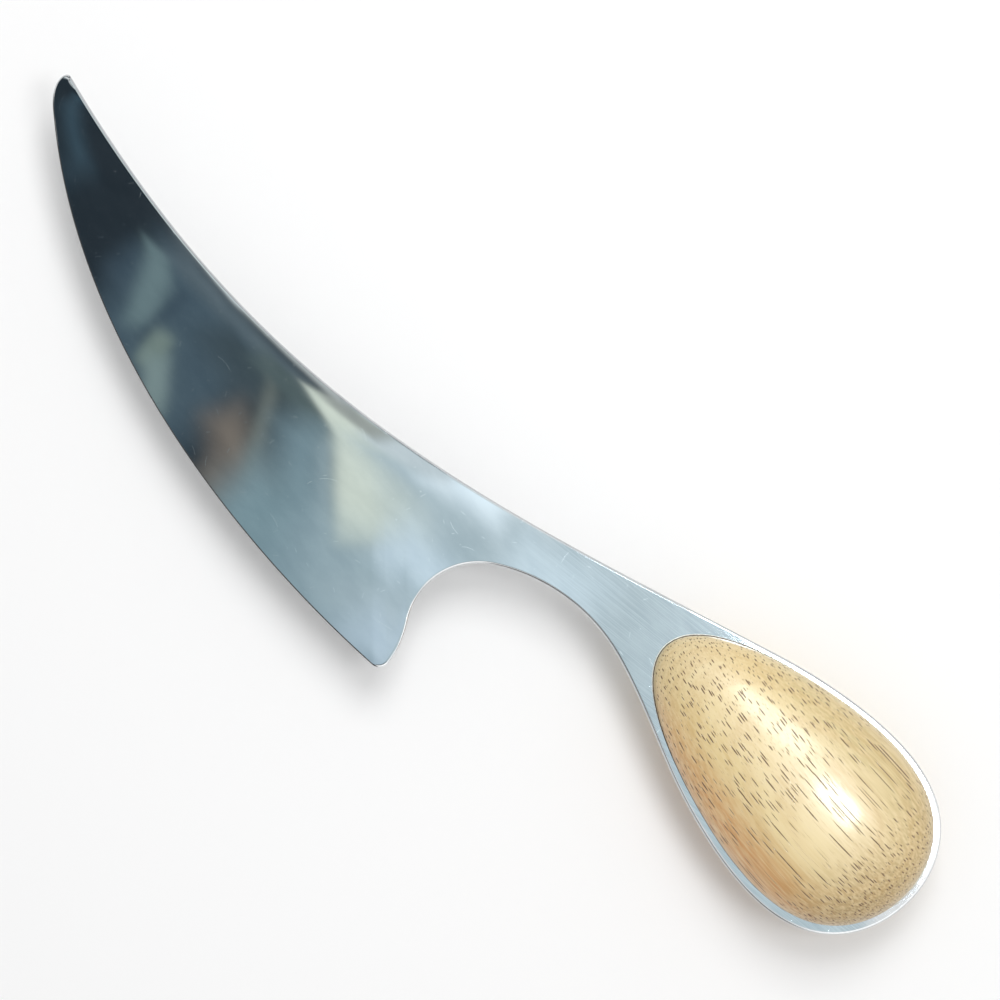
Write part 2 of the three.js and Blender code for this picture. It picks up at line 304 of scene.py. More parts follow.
def stations():
    """Both sides of the outline, with keen and full, at every station from tip to butt."""
    columns = [[], [], [], []]
    for low, high, steps, keen, full in stretches:
        last = high is tang_upper
        t = np.linspace(0, 1, steps + last, endpoint=last)
        for column, part in zip(columns, (low(t), high(t), lerp(*keen, t), lerp(*full, t))):
            column.append(part)
    return [np.concatenate(column) for column in columns]


def run_of(points):
    """How far along a line each of its points lies."""
    lengths = np.linalg.norm(np.diff(points, axis=0), axis=1)
    return np.concatenate([[0], np.cumsum(lengths)])


def eased(run, values):
    """Values along a run, each as a weighted mean of those near it, so that a kink becomes a bend.
    Beyond the ends the values go on as they came, so the end values stay."""
    even = np.linspace(0, run[-1], EASE_SAMPLES)
    reach = round(EASE_LENGTH / run[-1] * EASE_SAMPLES)
    weights = np.hanning(2 * reach + 3)[1:-1]
    padded = np.pad(np.interp(even, run, values), reach, mode="reflect", reflect_type="odd")
    return np.interp(run, even, np.convolve(padded, weights / weights.sum(), mode="valid"))


low_side, high_side, keen, full = stations()
low_run, high_run = run_of(low_side), run_of(high_side)
pace = eased(low_run, high_run)
high_side = np.stack([np.interp(pace, high_run, high_side[:, axis]) for axis in (0, 1)], axis=1)
full = np.clip(eased(low_run, full), 0, 1)
print(f"{len(keen)} stations")

# %% [markdown]
# ## The plate's section
# Across each station runs a closed section: up the rounded edge or the cutting bevel, over the
# flank, down the rounded spine, and back the same way underneath. The blade thins towards its tip
# and its edge, and the flank falls away a little towards the spine, which is what bends the
# reflections there. Where the tip gets narrow, the two rims get narrow with it, so they never
# meet. A flat cut-out with a bevel modifier would be quicker, but it would have one thickness and
# one edge everywhere.

# %% Carry the section along the plate
TIP_THICKNESS = 1.3
ARRIS_RADIUS = 0.5
ARRIS_LIMIT = 0.8
EDGE_THICKNESS = 0.2
BEVEL_WIDTH = 0.2
BEVEL_THICKNESS = 0.36
SPINE_ROLL = 0.2
SPINE_ROLL_WIDTH = 6.7
TIP_ROOM = 0.4
RIM_STEPS = 6
FLANK_STEPS = 26
BESIDE_RIM = [0.003, 0.01, 0.025]


def left_of(loop):
    """Unit vectors square to a closed line of points, on the left of its run."""
    along = np.roll(loop, -1, axis=0) - np.roll(loop, 1, axis=0)
    along /= np.linalg.norm(along, axis=1, keepdims=True)
    return np.stack([-along[:, 1], along[:, 0]], axis=1)


def rim(side, inward, keen_here, full_here, roll, room):
    """Rings set in from one side of the outline, for every station: from the upright wall to the
    flank along a quarter of an ellipse where the rim is rounded, and straight where it is keen.
    No ring goes further in than the room it has."""
    share = np.clip((side[:, 0] - tip_x) / BLADE_LENGTH, 0, 1)
    stock = lerp(TIP_THICKNESS, plate_thickness, share) / 2
    inner = lerp(BEVEL_THICKNESS / 2, stock, full_here) - roll
    rise = np.minimum(ARRIS_RADIUS, inner * ARRIS_LIMIT)
    depth = np.minimum(lerp(ARRIS_RADIUS, BEVEL_WIDTH, keen_here), room)
    wall = lerp(inner - rise, EDGE_THICKNESS / 2, keen_here)
    straight = np.linspace(0, 1, RIM_STEPS + 1)[:, None]
    turn = straight * np.pi / 2
    places = side + inward * (depth * lerp(1 - np.cos(turn), straight, keen_here))[..., None]
    heights = lerp(wall, inner, lerp(np.sin(turn), straight, keen_here))
    return np.concatenate([places, heights[..., None]], axis=-1)


def plate_grid():
    """Stations by section points. The flank's half thickness runs straight between the two rims,
    less a roll that grows with the square of the nearness to the spine."""
    inward = left_of(np.concatenate([low_side, high_side[-2:0:-1]]))
    count = len(low_side)
    inward_high = np.concatenate([inward[:1], inward[:count - 2:-1]])
    roll = SPINE_ROLL * (1 - full)
    breadth = np.linalg.norm(high_side - low_side, axis=1)
    room = np.where(low_side[:, 0] < front_x, breadth * TIP_ROOM, ARRIS_RADIUS)
    low = rim(low_side, inward[:count], keen, full, 0, room)
    high = rim(high_side, inward_high, np.zeros(count), np.ones(count), roll, room)
    across = np.sin(np.linspace(0, np.pi / 2, FLANK_STEPS + 1)[1:-1])
    across = np.concatenate([BESIDE_RIM, across])[:, None]
    flank = lerp(low[-1], high[-1], across[..., None])
    width = np.linalg.norm(high[-1, :, :2] - low[-1, :, :2], axis=1)
    to_spine = np.clip(1 - (1 - across) * width / SPINE_ROLL_WIDTH, 0, None)
    flank[..., 2] += roll * (across - to_spine ** 2)
    top = np.concatenate([low, flank, high[::-1]])
    under = top[::-1] * [1, 1, -1]
    return np.concatenate([top, under]).transpose(1, 0, 2)


plate = make_piece("steel_plate", plate_grid())
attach(plate, "root")
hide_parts("blade_and_tang")

# %% [markdown]
# ## The wooden half-eggs
# Each scale is half an egg on a flat base. Rows run along the axis and each row is an arch, a
# little steeper at its foot than half an ellipse. The rows are closest together at the two ends,
# where the shape turns fastest. A squashed sphere would not have the egg's skew or the steep foot.

# %% Two scales
DOME_SQUARENESS = 2.15
DOME_ROWS = 160
DOME_COLUMNS = 80
BASE_STEPS = 10


def half_egg_grid():
    """Arches along the egg: each arch is a superellipse, |y|^n + |z|^n = 1, scaled by the egg's
    share at that row, with a straight base under it."""
    s = -np.cos(np.linspace(0, np.pi, DOME_ROWS))[:, None]
    angle = np.linspace(0, np.pi, DOME_COLUMNS)
    power = 2 / DOME_SQUARENESS
    across = np.sign(np.cos(angle)) * np.abs(np.cos(angle)) ** power
    up = np.clip(np.sin(angle), 0, None) ** power
    base = np.linspace(-1, 1, BASE_STEPS + 2)[1:-1]
    across = np.concatenate([across, base])
    up = np.concatenate([up, np.zeros(BASE_STEPS)])
    swell = egg_share(s)
    x = np.broadcast_to(egg_length / 2 * s, swell.shape[:1] + across.shape)
    return np.stack([x, egg_width / 2 * swell * across, dome_height * swell * up], axis=-1)


wood_base = plate_thickness / 2 + glue_thickness
scales = []
for name, side in (("upper", 1), ("lower", -1)):
    grid = half_egg_grid() + [0, 0, wood_base]
    scale = make_piece(f"{name}_wood", grid * [1, 1, side])
    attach(scale, "root")
    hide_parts(f"{name}_scale")
    scales.append(scale)

# %% [markdown]
# ## The glue line
# The wood was glued to the tang, and some glue dried where it was squeezed out. It shows as a fine
# pale line round the front of the egg and as a crust at the butt. It is a bead carried round the
# egg's outline, with a width that wanders. An attribute keeps each point's distance from the wood,
# so that the finish can paint shade into the joint itself.

# %% Two beads of glue
BEAD_STEPS = 900
BEAD_SIDES = 14
BEAD_TUCK = 0.3
BEAD_WIDTH = 0.06
BEAD_HEIGHT = 0.14
LEAST_WIDTH = 0.05
LEAST_HEIGHT = 0.04
FRONT_EXTRA = 0.26
CRUST_EXTRA = 0.55
CRUST_LIFT = 0.12
CRUST_PLACE = np.pi - 0.12
CRUST_SPREAD = 0.34
LUMP_MEAN = 0.75
# size of a wave, and the fewest and most turns it makes round the egg
LUMP_WAVE = (0.5, 60, 130)
WIDTH_WAVE = (0.35, 5, 40)
HEIGHT_WAVE = (0.3, 20, 90)
WAVE_GAIN = 2.5


def wander(angle, seed, size, fewest, most):
    """A smooth closed wave of about that size: sines round the egg with seeded phases."""
    draw = np.random.default_rng(seed)
    turns = np.arange(fewest, most)
    phases = draw.uniform(0, 2 * np.pi, len(turns))
    weights = draw.uniform(0.3, 1, len(turns))
    wave = (weights * np.sin(np.multiply.outer(angle, turns) + phases)).sum(axis=-1)
    return size * WAVE_GAIN * wave / weights.sum()


def bead_grid(seed):
    """A low half-round carried round the egg: from a tuck under the wood out to a width that is
    larger at the front and largest, and lumpy, at the butt."""
    angle = np.linspace(0, 2 * np.pi, BEAD_STEPS, endpoint=False)
    s = -np.cos(angle)
    half_width = np.sign(np.sin(angle)) * egg_width / 2 * egg_share(s)
    outline = np.stack([egg_length / 2 * s, half_width], axis=-1)
    outward = left_of(outline)
    front = np.clip(np.cos(angle), 0, 1) ** 2
    crust = np.exp(-((angle - CRUST_PLACE) / CRUST_SPREAD) ** 2)
    crust = crust * (LUMP_MEAN + wander(angle, seed, *LUMP_WAVE))
    width = BEAD_WIDTH * (1 + wander(angle, seed + 1, *WIDTH_WAVE)) + FRONT_EXTRA * front
    width = np.clip(width + CRUST_EXTRA * crust, LEAST_WIDTH, RIM_ABOVE)
    height = BEAD_HEIGHT * (1 + wander(angle, seed + 2, *HEIGHT_WAVE))
    height = np.clip(height + CRUST_LIFT * crust, LEAST_HEIGHT, glue_thickness)
    turn = np.linspace(0, np.pi, BEAD_SIDES)
    offset = lerp(-BEAD_TUCK, width[:, None], (1 - np.cos(turn)) / 2)
    lift = height[:, None] * np.sin(turn)
    places = outline[:, None] + outward[:, None] * offset[..., None]
    grid = np.concatenate([places, lift[..., None] + plate_thickness / 2], axis=-1)
    return grid, offset


beads = []
for seed, (name, side) in enumerate((("upper", 1), ("lower", -1))):
    grid, from_wood = bead_grid(seed)
    bead = make_piece(f"{name}_glue", grid * [1, 1, side], wrap_rows=True, from_wood=from_wood)
    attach(bead, "root")
    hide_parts(f"{name}_glue_film")
    beads.append(bead)

# %% [markdown]
# ## A way to write finishes
# A finish is a network of nodes. Building it by clicking leaves nothing to read, so a small helper
# adds a node, sets what is given and links what is another node's output. Each finish then reads
# from top to bottom like a recipe, with places in millimetres about the egg.

# %% Node helper


class Finish:
    """The nodes of a material or a world, with its main shader and short ways to add to them."""

    def __init__(self, owner):
        owner.use_nodes = True
        self.owner = owner
        self.tree = owner.node_tree
        kinds = ("BSDF_PRINCIPLED", "BACKGROUND")
        self.shader = next(node for node in self.tree.nodes if node.type in kinds)

    def add(self, kind, output=0, settings=None, **inputs):
        """A node of that kind. Inputs are named with _ for a space, or in0, in1 for a place."""
        node = self.tree.nodes.new("ShaderNode" + kind)
        for key, value in (settings or {}).items():
            setattr(node, key, value)
        for key, value in inputs.items():
            place = int(key[2:]) if key[:2] == "in" and key[2:].isdigit() else key.replace("_", " ")
            self.set(node.inputs[place], value)
        return node.outputs[output]

    def set(self, socket, value):
        if isinstance(value, bpy.types.NodeSocket):
            self.tree.links.new(value, socket)
        else:
            socket.default_value = value

    def shade(self, **inputs):
        for key, value in inputs.items():
            self.set(self.shader.inputs[key.replace("_", " ")], value)

    def math(self, operation, a, b=0.0, c=0.0):
        return self.add("Math", settings={"operation": operation}, in0=a, in1=b, in2=c)

    def times(self, a, b):
        return self.math("MULTIPLY", a, b)

    def linear(self, value, factor, offset):
        """The value times a factor, plus an offset."""
        return self.math("MULTIPLY_ADD", value, factor, offset)

    def places(self):
        """x, y and z in millimetres about the middle of the egg."""
        spot = self.add("TexCoord", "Object")
        scaled = self.add("Mapping", Vector=spot, Scale=(1 / MM,) * 3, Location=tuple(-egg_centre))
        return [self.add("SeparateXYZ", axis, Vector=scaled) for axis in "XYZ"]

    def vector(self, x, y, z=0.0):
        return self.add("CombineXYZ", X=x, Y=y, Z=z)

    def noise(self, vector, scale=1.0, detail=2.0):
        return self.add("TexNoise", Vector=vector, Scale=scale, Detail=detail, Roughness=0.5)

    def step(self, value, start, stop, low=0.0, high=1.0):
        """A smooth step from low to high as the value goes from start to stop."""
        return self.add("MapRange", settings={"interpolation_type": "SMOOTHSTEP"}, Value=value,
                        From_Min=start, From_Max=stop, To_Min=low, To_Max=high)

    def mix(self, share, a, b):
        """A colour that goes from a to b."""
        return self.add("Mix", 2, {"data_type": "RGBA"}, in0=share, in6=a, in7=b)

    def bump(self, height, distance, normal=None):
        extra = {} if normal is None else {"Normal": normal}
        return self.add("Bump", Height=height, Distance=distance, Strength=1.0, **extra)


def colour(red, green, blue):
    """A colour read as screen values from 0 to 255, in the linear values that shaders use."""
    share = np.array([red, green, blue]) / 255
    linear = np.where(share <= 0.04045, share / 12.92, ((share + 0.055) / 1.055) ** 2.4)
    return (*linear.tolist(), 1.0)


# %% [markdown]
# ## Scratches
# Use has left hairline scratches in the steel. A flat pattern of cells gives each scratch a middle,
# a direction and a length of its own, so they lie at random; lines drawn along one direction would
# look combed. Some cells stay empty, because the length drawn for them is less than nothing.

# %% Scratch pattern
SCRATCH_TURN = 9.0
SCRATCH_BEND = 0.15
SCRATCH_EDGE = (0.06, 0.01)
SCRATCH_TAPER = 0.25
EMPTY_SHARE = 0.4


def scratches(finish, x, y, spacing, spread):
    """Hairlines: in each cell of a pattern, a thin arc through the cell's point, v = u squared
    times a bend, with u along a direction and a length drawn for that cell."""
    pattern = {"settings": {"voronoi_dimensions": "2D"},
               "Vector": finish.vector(x, y), "Scale": 1 / spacing}
    draw = finish.add("TexVoronoi", "Color", **pattern)
    turn, length, bend = [finish.add("SeparateColor", channel, Color=draw)
                          for channel in ("Red", "Green", "Blue")]
    spot = finish.add("TexVoronoi", "Position", **pattern)
    dx, dy = [finish.math("SUBTRACT", here, finish.add("SeparateXYZ", axis, Vector=spot))
              for here, axis in ((x, "X"), (y, "Y"))]
    angle = finish.times(turn, SCRATCH_TURN)
    cos, sin = finish.math("COSINE", angle), finish.math("SINE", angle)
    u = finish.math("ADD", finish.times(dx, cos), finish.times(dy, sin))
    v = finish.math("SUBTRACT", finish.times(dy, cos), finish.times(dx, sin))
    bend = finish.linear(bend, 2 * SCRATCH_BEND, -SCRATCH_BEND)
    arch = finish.times(finish.times(u, u), bend)
    off = finish.math("ABSOLUTE", finish.math("SUBTRACT", v, arch))
    reach = finish.linear(length, spread, -EMPTY_SHARE * spread)
    left = finish.math("SUBTRACT", reach, finish.math("ABSOLUTE", u))
    ends = finish.step(left, 0.0, SCRATCH_TAPER)
    return finish.times(finish.step(off, *SCRATCH_EDGE), ends)


# %% [markdown]
# ## Brushed steel
# The plate was brushed along its length and then polished by use. The brushing is noise that is
# stretched a hundred times longer than it is wide; it changes the tone and roughness a little and
# bumps the surface by less than a thousandth of a millimetre. It shows on the neck and the tang,
# and fades out on the blade, which use has polished most. Dried drops left a few specks there.

# %% Steel finish
BRUSH_TURN = math.radians(8)
BRUSH_STREAK = (16, 0.17)
BRUSH_HEIGHT = 0.0006 * MM
BRUSHED_FROM, BRUSHED_TO = heel_x - 6, heel_x + 16
HAZE_TURN = math.radians(-2)
HAZE_STREAK = (7, 3.2)
WAVE_HEIGHT = 0.012 * MM
# spacing of the cells, and the spread of the half lengths drawn for them
SHORT_SCRATCHES = (3.2, 1.1)
LONG_SCRATCHES = (11, 3.2)
DROP_SPACING = 2
DROP_EDGE = (0.09, 0.04)
WET_SCALE = 0.06
WET_EDGE = (0.58, 0.68)
MARK_STRENGTH = 0.6
SMOOTHEST = 0.045
DULL_STEEL = (0.60, 0.62, 0.63, 1)
CLEAR_STEEL = (0.66, 0.675, 0.68, 1)
BRUSH_LINE = (0.74, 0.755, 0.76, 1)
BARE_MARK = (0.86, 0.87, 0.86, 1)


def stretched(finish, x, y, angle, length, width, detail):
    """Noise in streaks of about that length and width, along a direction in the plate's plane."""
    cos, sin = math.cos(angle), math.sin(angle)
    along = finish.linear(x, cos / length, finish.times(y, sin / length))
    across = finish.linear(x, -sin / width, finish.times(y, cos / width))
    return finish.noise(finish.vector(along, across), detail=detail)


def steel_finish():
    steel = Finish(bpy.data.materials.new("brushed_steel"))
    x, y, z = steel.places()
    brush = stretched(steel, x, y, BRUSH_TURN, *BRUSH_STREAK, detail=3)
    haze = stretched(steel, x, y, HAZE_TURN, *HAZE_STREAK, detail=5)
    brushed = steel.step(x, BRUSHED_FROM, BRUSHED_TO)
    scored = steel.math("MAXIMUM", scratches(steel, x, y, *SHORT_SCRATCHES),
                        scratches(steel, x, y, *LONG_SCRATCHES))
    drops = steel.add("TexVoronoi", "Distance", Vector=steel.vector(x, y, 7.0),
                      Scale=1 / DROP_SPACING)
    wet = steel.noise(steel.vector(x, y, 3.0), WET_SCALE)
    wet = steel.times(steel.step(wet, *WET_EDGE), steel.step(x, front_x + 8, front_x - 2))
    specks = steel.times(steel.step(drops, *DROP_EDGE), wet)
    marks = steel.times(steel.math("MAXIMUM", scored, specks), MARK_STRENGTH)

    tone = steel.mix(steel.step(haze, 0.3, 0.7), DULL_STEEL, CLEAR_STEEL)
    lines = steel.times(brushed, steel.step(brush, 0.4, 0.7, 0, 0.65))
    tone = steel.mix(lines, tone, BRUSH_LINE)
    tone = steel.mix(marks, tone, BARE_MARK)
    rough = SMOOTHEST
    for pattern, amount in ((haze, 0.03), (brushed, 0.02), (brush, 0.02), (marks, 0.22)):
        rough = steel.linear(pattern, amount, rough)
    wave = steel.bump(steel.noise(steel.vector(x, y, z), scale=0.06, detail=1), WAVE_HEIGHT)
    height = steel.times(brush, steel.linear(brushed, 0.9, 0.1))
    normal = steel.bump(height, BRUSH_HEIGHT, normal=wave)
    steel.shade(Base_Color=tone, Metallic=1.0, Roughness=rough, Normal=normal)
    return steel.owner


plate.data.materials.append(steel_finish())
print("steel brushed at", round(math.degrees(BRUSH_TURN)), "degrees to the handle")

# %% [markdown]
# ## Vessels in the wood
# The wood's dark dashes are its vessels: fine tubes that run along the grain. The surface cuts
# each tube at a slant, so a tube shows as a long dash on the crown, where the surface runs with the
# grain, and as a dot at the butt, where it cuts across. Drawing dashes on the surface would miss
# that, so the finish places tubes in the solid: cells of a flat pattern seen along the grain, which
# bends slightly, as the grain of a real piece does.

# %% Grain and vessels
GRAIN_LEAN = 0.07
GRAIN_BEND = 0.0027
GRAIN_DRIFT = 0.5
GRAIN_RISE = 0.03
VESSEL_SPACING = 0.43
VESSEL_DEPTH = 2.2
VESSEL_EDGE = 0.05
VESSEL_BREAKS = (0.33, 0.49)
BREAK_PACE = 0.16
BREAK_SPREAD = 90


def streaks(wood, x, level, height, shrink, scale, detail):
    """Noise that is drawn out along the grain, by counting only a share of x."""
    return wood.noise(wood.vector(wood.times(x, shrink), level, height), scale, detail)


def along_grain(wood, x, y, z):
    """Two coordinates that stay the same along the grain: y less the grain's parabola, and z."""
    bend = wood.times(wood.times(x, x), -GRAIN_BEND)
    level = wood.math("ADD", wood.linear(x, GRAIN_LEAN, y), bend)
    drift = streaks(wood, x, y, z, shrink=0.05, scale=0.35, detail=1)
    return wood.linear(drift, GRAIN_DRIFT, level), wood.linear(x, GRAIN_RISE, z)


def vessels(wood, x, level, height, spacing, least, most):
    """Tubes along the grain: 1 inside a tube and 0 outside. Each cell of the pattern has its own
    tube, deeper than wide, with its own bore, which comes and goes along its length."""
    spot = wood.vector(level, wood.math("DIVIDE", height, VESSEL_DEPTH))
    pattern = {"settings": {"voronoi_dimensions": "2D"}, "Vector": spot, "Scale": 1 / spacing}
    distance = wood.add("TexVoronoi", "Distance", **pattern)
    chance = wood.add("SeparateColor", "Red", Color=wood.add("TexVoronoi", "Color", **pattern))
    bore = wood.linear(chance, most - least, least)
    run = wood.vector(wood.times(x, BREAK_PACE), wood.times(chance, BREAK_SPREAD))
    bore = wood.times(bore, wood.step(wood.noise(run, detail=1), *VESSEL_BREAKS))
    return wood.step(wood.math("SUBTRACT", distance, bore), VESSEL_EDGE, -VESSEL_EDGE)


# %% [markdown]
# ## Lacquered wood
# Over one pale tone lie thin washes of colour, each with a share that says where it shows: painted
# shade towards the butt and the two sides, lighter in the fibres, and darkest in the vessels. The
# lacquer is a coat that sinks into the vessels a little, so its shine is broken along the grain as
# on a real piece; a perfectly smooth coat would look like plastic.

# %% Wood finish
LARGE_BORES = (0.05, 0.25)
FINE_BORES = (0.02, 0.13)
FINE_SPACING = 0.55 * VESSEL_SPACING
PALE_WOOD = colour(234, 212, 156)
WARM_WOOD = colour(226, 200, 140)
RELIEF_DEPTH = 0.04 * MM


def wood_finish():
    wood = Finish(bpy.data.materials.new("lacquered_wood"))
    x, y, z = wood.places()
    level, height = along_grain(wood, x, y, z)
    pores = vessels(wood, x, level, height, VESSEL_SPACING, *LARGE_BORES)
    fine = vessels(wood, x, level, height, FINE_SPACING, *FINE_BORES)
    fibre = streaks(wood, x, level, height, shrink=0.06, scale=2.6, detail=3)
    rings = streaks(wood, x, level, height, shrink=0.02, scale=0.22, detail=2)
    wide = wood.times(level, 0.03)
    layers = streaks(wood, x, wide, height, shrink=0.02, scale=1.1, detail=1)
    # Where the butt's painted shade lies: from 10 mm behind the middle, fuller away from the spine.
    butt = wood.times(wood.step(x, 10.0, 27.0, 0, 0.95), wood.step(level, 9.0, -7.0, 0.6, 1))

    tone = wood.mix(wood.step(rings, 0.3, 0.7), PALE_WOOD, WARM_WOOD)
    washes = [
        # The first three washes are painted shade: the left side deeper and warmer, the right side
        # greyer, the butt darkest.
        ("left side", wood.step(level, -6.5, -14.0, 0, 0.9), (204, 138, 66)),
        ("right side", wood.step(level, 4.0, 14.0, 0, 0.7), (190, 172, 118)),
        ("butt", butt, (150, 116, 52)),
        ("front", wood.step(x, -17.0, -28.0, 0, 0.5), (206, 188, 150)),
        ("layers", wood.step(layers, 0.4, 0.6, 0, 0.3), (200, 162, 98)),
        ("fibres", wood.step(fibre, 0.3, 0.72, 0, 0.55), (238, 216, 166)),
        ("fine vessels", wood.times(fine, 0.55), (156, 112, 56)),
        ("vessels", wood.times(pores, 0.95), (96, 60, 20)),
    ]
    for _, share, shade in washes:
        tone = wood.mix(share, tone, colour(*shade))
    rough = wood.linear(pores, 0.3, wood.linear(fibre, 0.1, 0.42))
    dents = wood.linear(fine, 0.3, pores)
    relief = wood.bump(wood.math("SUBTRACT", wood.times(fibre, 0.12), dents), RELIEF_DEPTH)
    wood.shade(Base_Color=tone, Roughness=rough, Normal=relief, Coat_Normal=relief,
               Specular_IOR_Level=0.8, Coat_Weight=0.5, Coat_Roughness=0.16)
    return wood.owner


lacquered = wood_finish()
for scale in scales:
    scale.data.materials.append(lacquered)
print("vessels every", VESSEL_SPACING, "mm across the grain")

# %% [markdown]
# ## Dried glue and hidden pins
# The glue dried to a chalky off-white. Right beside the wood the bead is painted dark, as painted
# shade in the joint, by its own distance attribute. The pins sit inside the handle and are never
# seen, so the CAD nodes stay and get a plain drawn-wire finish.

# %% Glue and pin finishes
JOINT_EDGE = (0.16, 0.22)
# The joint's painted shade, right beside the wood.
JOINT_SHADE = colour(70, 52, 34)
DULL_GLUE = colour(222, 224, 214)
CHALK_GLUE = colour(244, 246, 240)
DARK_WIRE = (0.52, 0.53, 0.54, 1)
PALE_WIRE = (0.64, 0.65, 0.66, 1)


def glue_finish():
    glue = Finish(bpy.data.materials.new("dried_glue"))
    x, y, z = glue.places()
    away = glue.add("Attribute", "Fac", {"attribute_name": "from_wood"})
    grain = glue.noise(glue.vector(x, y, z), scale=2.5, detail=3)
    edge = glue.linear(grain, 0.1, away)
    chalk = glue.mix(glue.step(grain, 0.35, 0.7), DULL_GLUE, CHALK_GLUE)
    # Painted shade in the joint: the bead goes dark where it meets the wood.
    tone = glue.mix(glue.step(edge, *JOINT_EDGE), JOINT_SHADE, chalk)
    glue.shade(Base_Color=tone, Roughness=0.62, Normal=glue.bump(grain, 0.03 * MM))
    return glue.owner


def pin_finish():
    wire = Finish(bpy.data.materials.new("drawn_wire"))
    x, y, z = wire.places()
    drawn = wire.noise(wire.vector(x, y, wire.times(z, 0.04)), scale=8, detail=2)
    tone = wire.mix(drawn, DARK_WIRE, PALE_WIRE)
    rough = wire.linear(drawn, 0.2, 0.3)
    wire.shade(Base_Color=tone, Metallic=1.0, Roughness=rough, Normal=wire.bump(drawn, 0.002 * MM))
    return wire.owner


dried = glue_finish()
for bead in beads:
    bead.data.materials.append(dried)
drawn_wire = pin_finish()
for name in ("front_pin", "rear_pin"):
    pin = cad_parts[name].data
    pin.materials.clear()
    pin.materials.append(drawn_wire)
print("glue on", len(beads), "beads")

# %% [markdown]
# ## The camera
# The picture looks square at the plate, turned so that the handle's axis runs down to the right.
# The camera's place follows from three measures: where the egg's middle appears, how far the axis
# is turned, and how many pixels make a millimetre. It stands half a metre away, near enough for the
# top of the egg to look a little larger than its base.

# %% Camera
IMAGE_SIZE = 1000
PIXELS_PER_MM = 5.8
EGG_PIXEL = np.array([783.7, 771.8])
AXIS_TURN = math.radians(46.94)
VIEW_DISTANCE = 500.0

right = np.array([math.cos(AXIS_TURN), math.sin(AXIS_TURN), 0])
down = np.array([math.sin(AXIS_TURN), -math.cos(AXIS_TURN), 0])
off_axis = (IMAGE_SIZE / 2 - EGG_PIXEL) / PIXELS_PER_MM
aim = egg_centre + off_axis[0] * right + off_axis[1] * down
aim[2] = plate_high[2]


def seen(across, below, height):
    """A place, in metres, from its millimetres right of and below the middle of the picture, as
    measured on the plate's face, and its height over that face."""
    return (aim + across * right + below * down + [0, 0, height]) * MM


camera_data = bpy.data.cameras.new("camera")
camera_data.sensor_width = 36
camera_data.lens = camera_data.sensor_width * VIEW_DISTANCE * PIXELS_PER_MM / IMAGE_SIZE
camera_data.clip_start = 0.01
camera = bpy.data.objects.new("camera", camera_data)
camera.location = seen(0, 0, VIEW_DISTANCE)
camera.rotation_euler = (0, 0, AXIS_TURN)
bpy.context.scene.collection.objects.link(camera)
bpy.context.scene.camera = camera
print(f"lens {camera_data.lens:.0f} mm, aimed at {aim.round(1)} mm")

# %% [markdown]
# ## The floor and the room
# The knife lies on a plain white floor, and the camera sees plain white beyond it. In reflections
# the room is white overhead and dimmer low down, with a dark band beyond the cutting edge and a
# bright one at the lower right. So the cutting edge is drawn by a dark line and the notch by a
# light one. A picture of a real room would do this too, but here numbers move each band.

# %% Floor and world
FLOOR_SIZE = 8.0
FLOOR_WHITE = (0.97, 0.97, 0.97, 1)
WORLD_LIGHT = 0.55
DIM_BELOW = 0.6
DARK_SIDE = (*direction(-104), 0.0)
DARK_BAND = (0.5, 0.66, 0.8, 0.95)
DARK_LEVEL = 0.1
BRIGHT_SIDE = tuple((down + right) / math.sqrt(2))
BRIGHT_BAND = (0.3, 0.55, 0.92, 1.0)
BRIGHT_LEVEL = 1.65


def square(size, middle):
    """The corners of a level square."""
    return np.array([(-1, -1, 0), (1, -1, 0), (1, 1, 0), (-1, 1, 0)]) * size / 2 + middle


def flat_sheet(name, corners, material):
    """A sheet on the stage, with four corners in metres."""
    mesh = bpy.data.meshes.new(name)
    mesh.from_pydata(corners.tolist(), [], [(0, 1, 2, 3)])
    mesh.materials.append(material)
    sheet = bpy.data.objects.new(name, mesh)
    bpy.context.scene.collection.objects.link(sheet)
    return sheet


def band(sky, way, side, band_steps, level):
    """A factor for the sky: 1, apart from a band of directions about a side, where it is the
    level. The band begins, is full, starts to fade and ends at steps of the cosine to the side."""
    begin, full_from, full_to, end = band_steps
    towards = sky.add("VectorMath", "Value", {"operation": "DOT_PRODUCT"}, in0=way, in1=side)
    within = sky.times(sky.step(towards, begin, full_from), sky.step(towards, end, full_to))
    return sky.linear(within, level - 1, 1.0)


paper = Finish(bpy.data.materials.new("white_paper"))
paper.shade(Base_Color=FLOOR_WHITE, Roughness=0.9)
flat_sheet("floor", square(FLOOR_SIZE, (0, 0, 0)), paper.owner)

world = bpy.data.worlds.new("studio")
bpy.context.scene.world = world
sky = Finish(world)
way = sky.add("TexCoord", "Generated")
rise = sky.add("SeparateXYZ", "Z", Vector=way)
sides = sky.times(band(sky, way, BRIGHT_SIDE, BRIGHT_BAND, BRIGHT_LEVEL),
                  band(sky, way, DARK_SIDE, DARK_BAND, DARK_LEVEL))
overhead = sky.times(sky.step(rise, 0.0, 0.7, DIM_BELOW, 1), sides)
is_glossy, is_camera, is_clear = [sky.add("LightPath", f"Is {ray} Ray")
                                  for ray in ("Glossy", "Camera", "Transmission")]
mirrored = sky.linear(is_glossy, sky.math("SUBTRACT", overhead, WORLD_LIGHT), WORLD_LIGHT)
is_plain = sky.math("ADD", is_camera, is_clear)
strength = sky.linear(is_plain, 1 - WORLD_LIGHT, mirrored)
sky.shade(Color=(1, 1, 1, 1), Strength=strength)
print(f"floor {FLOOR_SIZE} m wide, world at {WORLD_LIGHT}")

# %% [markdown]
# ## The lamps
# Two soft lamps light the knife, one above and one to the right of the picture. The lamps only
# light; what shines in the lacquer is a pair of soft boxes on the way to them, seen only in
# reflections, so their brightness can be chosen apart from the light level.

# %% Lamps and soft boxes
BOX_SHARE = 0.36
BOX_COLOUR = (0.82, 0.92, 1, 1)


